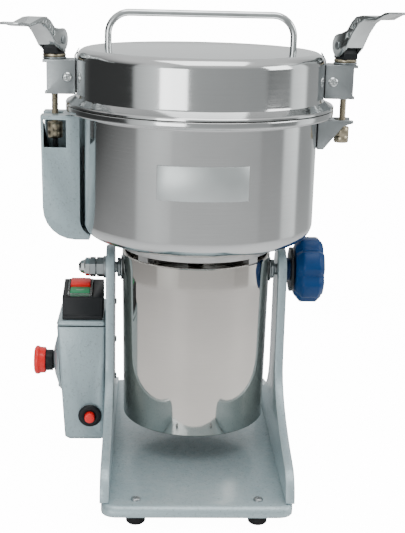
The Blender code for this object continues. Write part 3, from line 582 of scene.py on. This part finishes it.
def hexagon_nut(across, height):
    """A chamfered hexagon nut at the origin, standing on its face."""
    start_fresh()
    bpy.ops.mesh.primitive_cylinder_add(
        vertices=6, radius=across / math.sqrt(3), depth=height, location=(0, 0, height / 2)
    )
    obj = bpy.context.object
    bevel = obj.modifiers.new("chamfer", "BEVEL")
    bevel.width = 0.07 * across
    bevel.segments = 2
    apply_all(obj)
    smooth(obj, 30.0)
    return obj


def washer(name, inner, outer, low, high, place=(0.0, 0.0), count=40):
    """A washer with rounded edges."""
    edge = 0.2 * (high - low)
    profile = [(inner, low), (outer - edge, low), (outer, low + edge), (outer, high - edge)]
    profile += [(outer - edge, high), (inner, high)]
    obj = turned(name, profile, count, place, ring=True)
    smooth(obj)
    return obj


# ---------------------------------------------------------------- operators

FINISHES = {}
SOFT_NODES = {
    "base_plate": 1.0, "left_arm": 1.0, "right_arm": 1.0, "control_box": 1.0, "control_box_top": 1.0,
    "side_cover": 0.9, "right_hook": 0.5, "left_latch_bracket": 0.6, "right_latch_bracket": 0.6,
    "switch_housing": 0.8, "start_button": 0.8, "stop_button": 0.8, "switch_frame": 0.5, "estop_plate": 0.7,
    "estop_button": 0.8, "reset_button": 0.5, "breaker_bezel": 0.4, "estop_collar": 0.4,
    "label_plate": 0.15, "tilt_knob": 0.8,
}


class PieceOperator:
    """What every operator of the grinder shares."""
    bl_options = {"REGISTER", "UNDO"}

    @property
    def sizes(self):
        return bpy.context.scene.grinder_sizes

    @property
    def colours(self):
        return bpy.context.scene.grinder_colours


class GRINDER_OT_finishes(PieceOperator, bpy.types.Operator):
    """Give every node of the frame its finish."""
    bl_idname = "grinder.finishes"
    bl_label = "Finishes"

    def execute(self, context):
        FINISHES.update(make_finishes(self.colours))
        for row in frame["record"]["subparts"]:
            mesh = frame["nodes"][row["node"]].data
            mesh.materials.clear()
            mesh.materials.append(FINISHES[row["material_slot"]])
        return {"FINISHED"}


class GRINDER_OT_sheet_parts(PieceOperator, bpy.types.Operator):
    """Sheet-metal and plastic parts with rounded edges."""
    bl_idname = "grinder.sheet_parts"
    bl_label = "Sheet parts"

    def execute(self, context):
        scale = self.sizes.soft_edge
        for node, width in SOFT_NODES.items():
            piece = softened(node, f"{node}_soft", width * scale)
            slot = slot_of_node(node)
            dressed(piece, body_of_node(node), FINISHES[slot], node)
        return {"FINISHED"}


class GRINDER_OT_motor_housing(PieceOperator, bpy.types.Operator):
    """Polished motor housing."""
    bl_idname = "grinder.motor_housing"
    bl_label = "Motor housing"

    def execute(self, context):
        low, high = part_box("motor_housing")
        top, foot, wall = high[0], self.sizes.housing_low, self.sizes.wall
        lip = 0.4 * wall
        profile = [(foot - wall, low[2]), (foot - lip, low[2]), (foot, low[2] + lip)]
        profile += [(top, high[2] - lip), (top - lip, high[2]), (top - wall, high[2])]
        shell = turned("motor_housing_shell", profile, self.sizes.round_count, ring=True)
        smooth(shell, 30.0)
        dressed(shell, "grinder_head", FINISHES["polished_steel"], "motor_housing")
        return {"FINISHED"}


class GRINDER_OT_bowl(PieceOperator, bpy.types.Operator):
    """Grinding bowl with a rolled rim."""
    bl_idname = "grinder.bowl"
    bl_label = "Grinding bowl"

    def execute(self, context):
        low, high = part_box("grinding_bowl")
        radius, edge, wall = self.sizes.bowl_radius, self.sizes.bowl_edge, self.sizes.wall
        rim, floor, top = high[0], low[2], high[2]
        hub = 9.5 * MM
        middle = (radius - edge, floor + edge)
        profile = [(hub, floor + wall), (hub, floor)] + arc(middle, edge, -90, 0, 12)
        shoulder = (radius + 3.4 * MM, top - 9.4 * MM)
        profile += arc(shoulder, 3.4 * MM, 180, 95, 5)
        profile += arc((rim - 1.6 * MM, top - 4.4 * MM), 1.6 * MM, -90, 0, 4)
        profile += arc((rim - 1.2 * MM, top - 1.2 * MM), 1.2 * MM, 0, 90, 3)
        profile += [(radius - wall, top)] + arc(middle, edge - wall, 0, -90, 10)
        shell = turned("bowl_shell", profile, self.sizes.round_count, ring=True)
        smooth(shell, 40.0)
        dressed(shell, "grinder_head", FINISHES["brushed_steel"], "grinding_bowl")
        return {"FINISHED"}


class GRINDER_OT_lid(PieceOperator, bpy.types.Operator):
    """Lid with a rounded edge and a flared skirt."""
    bl_idname = "grinder.lid"
    bl_label = "Lid"

    def execute(self, context):
        low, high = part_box("lid")
        radius, edge, wall = self.sizes.lid_skirt, self.sizes.lid_edge, self.sizes.lid_wall
        rim, foot, top = high[0], low[2], high[2]
        corner = (radius - edge, top - edge)
        flare_top = foot + 6.2 * MM
        flare = [(radius, flare_top + 2 * MM), (radius + 0.5 * MM, flare_top)]
        flare += [(rim - 3 * MM, foot + 2.9 * MM), (rim - 0.6 * MM, foot + 2.2 * MM), (rim, foot + 1.3 * MM)]
        inner = [(rim, foot), (rim - wall, foot), (rim - 1.5 * wall, foot + 0.8 * MM)]
        inner += [(radius - wall, flare_top - 0.6 * MM)]
        profile = arc(corner, edge, 90, 0, 10) + flare + inner + arc(corner, edge - wall, 0, 90, 8)
        shell = turned("lid_shell", profile, self.sizes.round_count)
        smooth(shell, 32.0)
        dressed(shell, "lid", FINISHES["brushed_steel"], "lid")
        return {"FINISHED"}


class GRINDER_OT_handle(PieceOperator, bpy.types.Operator):
    """Bent round handle."""
    bl_idname = "grinder.handle"
    bl_label = "Handle"

    def execute(self, context):
        low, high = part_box("lid_handle")
        bar, bend = self.sizes.bar, self.sizes.handle_bend
        reach, top = high[0] - bar, high[2] - bar
        pull = bend * 0.5523
        start_fresh()
        bpy.ops.curve.primitive_bezier_curve_add(location=(0, 0, 0))
        obj = bpy.context.object
        obj.name = "handle_bar"
        curve = obj.data
        points = curve.splines[0].bezier_points
        points.add(4)
        path = [
            ((-reach, low[2]), 0, 0), ((-reach, top - bend), 0, 1), ((bend - reach, top), 1, 0),
            ((reach - bend, top), 1, 0), ((reach, top - bend), 0, -1), ((reach, low[2]), 0, 0),
        ]
        for point, ((x, z), flat, rise) in zip(points, path):
            step = Vector((flat * pull, 0, rise * pull))
            point.handle_left_type = point.handle_right_type = "FREE"
            point.co = (x, 0, z)
            point.handle_left = point.co - step
            point.handle_right = point.co + step
        curve.bevel_depth = bar
        curve.bevel_resolution = 6
        curve.resolution_u = 12
        curve.use_fill_caps = True
        start_fresh()
        obj.select_set(True)
        bpy.context.view_layer.objects.active = obj
        bpy.ops.object.convert(target="MESH")
        smooth(obj, 40.0)
        dressed(obj, "lid", FINISHES["chrome"], "lid_handle")
        return {"FINISHED"}


class GRINDER_OT_latch_rods(PieceOperator, bpy.types.Operator):
    """Threaded latch rods with their barrels."""
    bl_idname = "grinder.latch_rods"
    bl_label = "Latch rods"

    def execute(self, context):
        low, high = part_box("right_rod")
        at = ((low[0] + high[0]) / 2, 0.0)
        barrel, rod, pitch = (high[0] - low[0]) / 2, self.sizes.bar, self.sizes.thread_pitch
        foot, collar = low[2], low[2] + 14 * MM
        edge = 0.8 * MM
        profile = [(barrel - edge, foot), (barrel, foot + edge), (barrel, foot + 6 * MM)]
        profile += [(barrel - 0.3 * MM, foot + 6.3 * MM), (barrel, foot + 6.6 * MM)]
        profile += [(barrel, collar - edge), (barrel - edge, collar), (rod, collar)]
        turns = int((high[2] - 12 * MM - collar) / pitch)
        for i in range(turns):
            profile += [(rod, collar + (i + 0.25) * pitch), (0.86 * rod, collar + (i + 0.75) * pitch)]
        profile += [(rod, high[2] - 10 * MM), (rod, high[2])]
        right = turned("right_rod_threaded", profile, 24, at)
        smooth(right, 60.0)
        left = copied(right, "left_rod_threaded", Matrix.Translation((-2 * at[0], 0, 0)))
        for piece, name in ((right, "right_rod"), (left, "left_rod")):
            dressed(piece, name, FINISHES["brass_rod"], name)
        return {"FINISHED"}


class GRINDER_OT_latch_trim(PieceOperator, bpy.types.Operator):
    """Washers and cross-head screws of the latch brackets."""
    bl_idname = "grinder.latch_trim"
    bl_label = "Latch trim"

    def execute(self, context):
        low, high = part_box("right_latch_bracket")
        rod_low, rod_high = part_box("right_rod")
        axis_x = (rod_low[0] + rod_high[0]) / 2
        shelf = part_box("right_latch_cup")[0][2]
        screw = cross_screw(4.4 * MM, 2.4 * MM)
        for side, name in SIDES:
            at = (side * axis_x, 0)
            for number, (drop, rise, outer) in enumerate(((0.1, 1.3, 10.2), (1.7, 4.0, 9.9))):
                ring = washer(f"{name}_latch_washer_{number}", 7 * MM, outer * MM,
                              shelf + drop * MM, shelf + rise * MM, at)
                finish = "zinc" if number == 0 else "brass_rod"
                dressed(ring, "lid", FINISHES[finish])
            for facing_y, end in ((-1, "front"), (1, "rear")):
                spot = (side * (low[0] + 9.6 * MM), facing_y * high[1], low[2] + 14.4 * MM)
                twin = copied(screw, f"{name}_{end}_bracket_screw", facing((0, facing_y, 0), spot))
                dressed(twin, "lid", FINISHES["chrome"])
        bpy.data.objects.remove(screw)
        return {"FINISHED"}


class GRINDER_OT_levers(PieceOperator, bpy.types.Operator):
    """Cam levers with their row of holes and their pins."""
    bl_idname = "grinder.levers"
    bl_label = "Levers"

    def execute(self, context):
        joints = {joint["name"]: joint for joint in frame["record"]["behaviour"]["joints"]}
        holes = ((17.5, 10.0, 2.3), (24.5, 17.2, 2.0), (31.5, 22.6, 1.6))
        for side, name in SIDES:
            joint = joints[f"{name}_lever_flip"]
            eye, pin = Vector(joint["pos_m"]), Vector(joint["axis"])
            along = Vector((0, 0, 1)).cross(pin)
            drop = math.radians(10.0 if side < 0 else 0.0)
            ahead = along * math.cos(drop) - Vector((0, 0, 1)) * math.sin(drop)
            above = along * math.sin(drop) + Vector((0, 0, 1)) * math.cos(drop)
            tools = []
            for reach, rise, radius in holes:
                start_fresh()
                bpy.ops.mesh.primitive_cylinder_add(vertices=24, radius=radius * MM, depth=40 * MM)
                tool = bpy.context.object
                settled(tool, facing(pin, eye + (ahead * reach + above * rise) * MM))
                tools.append(tool)
            piece = softened(f"{name}_lever", f"{name}_lever_soft", 0.5 * MM, tools=tools)
            dressed(piece, f"{name}_lever", FINISHES["chrome"], f"{name}_lever")
            profile = [(2.6, -9.6), (3.4, -9.4), (3.6, -8.9), (2.4, -8.5)]
            profile += [(radius, -height) for radius, height in reversed(profile)]
            pin_piece = turned(f"{name}_lever_pin", [(r * MM, z * MM) for r, z in profile], 24)
            settled(pin_piece, facing(pin, eye))
            smooth(pin_piece)
            dressed(pin_piece, f"{name}_lever", FINISHES["zinc"])
        return {"FINISHED"}


class GRINDER_OT_pivot_trim(PieceOperator, bpy.types.Operator):
    """Nuts and washers on the tilt studs, between the motor and the arms."""
    bl_idname = "grinder.pivot_trim"
    bl_label = "Pivot trim"

    def execute(self, context):
        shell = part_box("motor_housing")[1][0]
        nut = hexagon_nut(16 * MM, 3.4 * MM)
        disc = washer("disc", 5 * MM, 11 * MM, 0, 1.4 * MM)
        for side, name in SIDES:
            out = (side, 0, 0)
            spot = Vector((side * (shell - 0.4 * MM), 0, TILT_Z))
            step = Vector(out) * 1.4 * MM
            for shape, label, place in ((disc, "washer", spot), (nut, "nut", spot + step)):
                twin = copied(shape, f"{name}_stud_{label}", facing(out, place))
                dressed(twin, "grinder_head", FINISHES["zinc"])
        bpy.data.objects.remove(nut)
        bpy.data.objects.remove(disc)
        return {"FINISHED"}


class GRINDER_OT_frame_screws(PieceOperator, bpy.types.Operator):
    """Screws of the feet, the control box and the raised switch plate."""
    bl_idname = "grinder.frame_screws"
    bl_label = "Frame screws"

    def execute(self, context):
        screw = cross_screw(4.0 * MM, 2.2 * MM)
        spots = []
        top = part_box("base_plate")[1][2]
        for name in ("front_left", "front_right", "rear_left", "rear_right"):
            low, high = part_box(f"{name}_foot")
            place = ((low[0] + high[0]) / 2, (low[1] + high[1]) / 2, top)
            spots.append((f"{name}_foot_screw", (0, 0, 1), place, 1.0))
        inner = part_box("left_arm")[1][0]
        for height in (148, 112, 76):
            spots.append((f"box_screw_{height}", (1, 0, 0), (inner, 6 * MM, height * MM), 0.75))
        lean = Vector((-1, 0, -0.059))
        low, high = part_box("estop_plate")
        middle_y, middle_z = (low[1] + high[1]) / 2, (low[2] + high[2]) / 2
        box_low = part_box("control_box")[0][0]
        for number, angle in enumerate((50, 140, 230, 320)):
            turn = math.radians(angle)
            y, z = middle_y + 24 * MM * math.cos(turn), middle_z + 24 * MM * math.sin(turn)
            depth = (z - middle_z) * 0.059
            spots.append((f"plate_screw_{number}", lean, (low[0] + 4.6 * MM - depth, y, z), 0.5))
        for name, direction, place, size in spots:
            twin = copied(screw, name, facing(direction, place) @ Matrix.Scale(size, 4))
            dressed(twin, "frame", FINISHES["zinc"])
        bpy.data.objects.remove(screw)
        return {"FINISHED"}


class GRINDER_OT_switch_marks(PieceOperator, bpy.types.Operator):
    """Raised ring and bar on the two buttons, and the breaker's bright rim."""
    bl_idname = "grinder.switch_marks"
    bl_label = "Switch marks"

    def execute(self, context):
        slope = math.radians(14.0)
        up = Vector((0, -math.sin(slope), math.cos(slope)))
        white = FINISHES["silicone"]
        for node, shape in (("stop_button", "ring"), ("start_button", "bar")):
            low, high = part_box(node)
            middle = Vector(((low[0] + high[0]) / 2, (low[1] + high[1]) / 2, 0))
            half_y = (high[1] - low[1]) / 2
            thick = (high[2] - low[2]) - 2 * half_y * math.tan(slope)
            middle.z = (low[2] + high[2]) / 2
            place = middle + up * (thick * 0.5 * math.cos(slope))
            start_fresh()
            if shape == "ring":
                bpy.ops.mesh.primitive_torus_add(major_radius=3.0 * MM, minor_radius=0.45 * MM,
                                                 major_segments=32, minor_segments=8)
            else:
                bpy.ops.mesh.primitive_cylinder_add(vertices=16, radius=0.5 * MM, depth=7 * MM)
            mark = bpy.context.object
            mark.name = f"{node}_mark"
            apply_all(mark)
            turn = Matrix.Identity(4) if shape == "ring" else Matrix.Rotation(math.pi / 2, 4, "Y")
            settled(mark, facing(up, place) @ turn)
            smooth(mark)
            dressed(mark, node, white)
        low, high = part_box("breaker_bezel")
        middle = ((low[0] + high[0]) / 2, low[1] + 2.6 * MM, (low[2] + high[2]) / 2)
        start_fresh()
        bpy.ops.mesh.primitive_torus_add(major_radius=10.2 * MM, minor_radius=0.55 * MM,
                                         major_segments=48, minor_segments=8)
        rim = bpy.context.object
        rim.name = "breaker_rim"
        apply_all(rim)
        settled(rim, facing((0, -1, 0), middle))
        smooth(rim)
        dressed(rim, "frame", FINISHES["zinc"])
        return {"FINISHED"}


# ---------------------------------------------------------------- stage

# brightness of the floor and surroundings as the camera sees them directly
FLOOR_GLOW = 14.0
# brightness of the floor's rim in reflections
FLOOR_TONE = 0.88
# the studio's brightness by direction: degrees from the front, then brightness
STUDIO_BANDS = (
    (-180, 1.0), (-150, 0.8), (-140, 0.20), (-122, 0.06), (-66, 0.07), (-62, 0.80), (-42, 1.25),
    (-30, 1.0), (-27, 0.62), (10, 0.55), (58, 0.46), (62, 0.26), (68, 0.30), (86, 0.36), (90, 1.3),
    (108, 1.7), (112, 0.45), (140, 0.5), (150, 0.9), (180, 1.0),
)


class GRINDER_OT_stage(PieceOperator, bpy.types.Operator):
    """Pale floor, soft light and the camera."""
    bl_idname = "grinder.stage"
    bl_label = "Stage"

    def execute(self, context):
        start_fresh()
        bpy.ops.mesh.primitive_circle_add(vertices=96, radius=0.62, fill_type="NGON")
        floor = bpy.context.object
        floor.name = "floor"
        material, tree, shader = new_finish("floor", Roughness=0.6)
        shader.inputs["Emission Color"].default_value = (1, 1, 1, 1)
        rays = tree.nodes.new("ShaderNodeLightPath")
        glow = math_node(tree, "MULTIPLY", rays.outputs["Is Camera Ray"], FLOOR_GLOW)
        tree.links.new(glow, shader.inputs["Emission Strength"])
        place = tree.nodes.new("ShaderNodeTexCoord")
        cloud = noise(tree, place.outputs["Object"], 3.0, 4.0)
        deep = tuple(0.97 * value for value in self.colours.floor)
        pale = blended(tree, cloud, deep, tuple(self.colours.floor))
        # painted light: the floor is painted pale near the grinder and darker grey towards its rim, a painted
        # pool of light that the steel reflects
        reach = add_node(tree, "ShaderNodeVectorMath", operation="LENGTH")
        tree.links.new(place.outputs["Object"], reach.inputs[0])
        painted_light_falloff = ranged(tree, reach.outputs["Value"], 0.16, 0.58)
        tree.links.new(blended(tree, painted_light_falloff, pale, (0.60, 0.60, 0.61)), shader.inputs["Base Color"])
        floor.data.materials.append(material)
        make_world()
        for name, place, target, size, power in (
            ("top_light", (0.1, -0.4, 1.9), (0, 0, 0.2), 1.4, 20.0),
            ("right_light", (1.6, -0.5, 0.9), (0, 0, 0.25), 0.8, 10.0),
            ("front_light", (-0.9, -1.9, 0.35), (-0.1, 0, 0.1), 0.9, 11.0),
        ):
            start_fresh()
            bpy.ops.object.light_add(type="AREA", location=place)
            light = bpy.context.object
            light.name = name
            light.data.size = size
            light.data.energy = power
            light.rotation_euler = (Vector(target) - Vector(place)).to_track_quat("-Z", "Y").to_euler()
        bpy.ops.object.camera_add(location=(-0.0408, -0.9491, 0.4446))
        camera = bpy.context.object
        yaw, pitch, roll = (math.radians(value) for value in (-2.4614, 15.38, 1.366))
        turn = Matrix.Rotation(yaw, 4, "Z") @ Matrix.Rotation(math.pi / 2 - pitch, 4, "X")
        camera.rotation_euler = (turn @ Matrix.Rotation(roll, 4, "Z")).to_euler()
        camera.data.lens = 73.98
        camera.data.shift_x = 0.0126
        camera.data.clip_start = 0.01
        bpy.context.scene.camera = camera
        return {"FINISHED"}


def make_world():
    """Studio surroundings: white behind, dark on the left, a bright panel on the right."""
    world = bpy.data.worlds.new("studio")
    bpy.context.scene.world = world
    world.use_nodes = True
    tree = world.node_tree
    background = tree.nodes["Background"]
    place = tree.nodes.new("ShaderNodeTexCoord")
    split = tree.nodes.new("ShaderNodeSeparateXYZ")
    tree.links.new(place.outputs["Generated"], split.inputs[0])
    x, y, z = split.outputs
    turn = math_node(tree, "ARCTAN2", x, math_node(tree, "MULTIPLY", y, -1.0))
    ramp = add_node(tree, "ShaderNodeValToRGB")
    tree.links.new(ranged(tree, turn, -math.pi, math.pi), ramp.inputs[0])
    elements = ramp.color_ramp.elements
    for angle, _ in STUDIO_BANDS[1:-1]:
        elements.new((angle + 180) / 360)
    for index, (angle, value) in enumerate(STUDIO_BANDS):
        elements[index].position = (angle + 180) / 360
        elements[index].color = (0.97 * value, value, value, 1.0)
    above = ranged(tree, z, 0.35, 0.75)
    banded = blended(tree, above, ramp.outputs[0], (1.0, 1.0, 1.0))
    # below the horizon the surroundings match the floor, so its rim doesn't show in the steel
    ground = ranged(tree, z, -0.22, -0.33, 0.0, 0.8)
    banded = blended(tree, ground, banded, (FLOOR_TONE, FLOOR_TONE, FLOOR_TONE))
    rays = tree.nodes.new("ShaderNodeLightPath")
    seen = blended(tree, rays.outputs["Is Camera Ray"], banded, (1.0, 1.0, 1.0))
    tree.links.new(seen, background.inputs["Color"])
    strength = ranged(tree, rays.outputs["Is Camera Ray"], 0, 1, 1.0, 1.0 + FLOOR_GLOW)
    tree.links.new(strength, background.inputs["Strength"])


OPERATORS = (
    GRINDER_OT_finishes, GRINDER_OT_sheet_parts, GRINDER_OT_motor_housing, GRINDER_OT_bowl,
    GRINDER_OT_lid, GRINDER_OT_handle, GRINDER_OT_latch_rods, GRINDER_OT_latch_trim, GRINDER_OT_levers,
    GRINDER_OT_pivot_trim, GRINDER_OT_frame_screws, GRINDER_OT_switch_marks, GRINDER_OT_stage,
)


class GRINDER_PT_panel(bpy.types.Panel):
    """Lists the pieces and their settings."""
    bl_idname = "GRINDER_PT_panel"
    bl_label = "Powder grinder"
    bl_space_type = "VIEW_3D"
    bl_region_type = "UI"
    bl_category = "Grinder"

    def draw(self, context):
        for operator in OPERATORS:
            self.layout.operator(operator.bl_idname)
        for group in (context.scene.grinder_sizes, context.scene.grinder_colours):
            for name in group.__annotations__:
                self.layout.prop(group, name)


CLASSES = (GrinderColours, GrinderSizes, *OPERATORS, GRINDER_PT_panel)


def register():
    """Register the classes and the scene's settings."""
    for cls in CLASSES:
        bpy.utils.register_class(cls)
    bpy.types.Scene.grinder_colours = PointerProperty(type=GrinderColours)
    bpy.types.Scene.grinder_sizes = PointerProperty(type=GrinderSizes)


def unregister():
    """Remove what register added."""
    del bpy.types.Scene.grinder_sizes
    del bpy.types.Scene.grinder_colours
    for cls in reversed(CLASSES):
        bpy.utils.unregister_class(cls)


def main():
    """Register the classes and build every piece in order."""
    register()
    for operator in OPERATORS:
        group, name = operator.bl_idname.split(".")
        getattr(getattr(bpy.ops, group), name)()


if __name__ == "__main__":
    main()
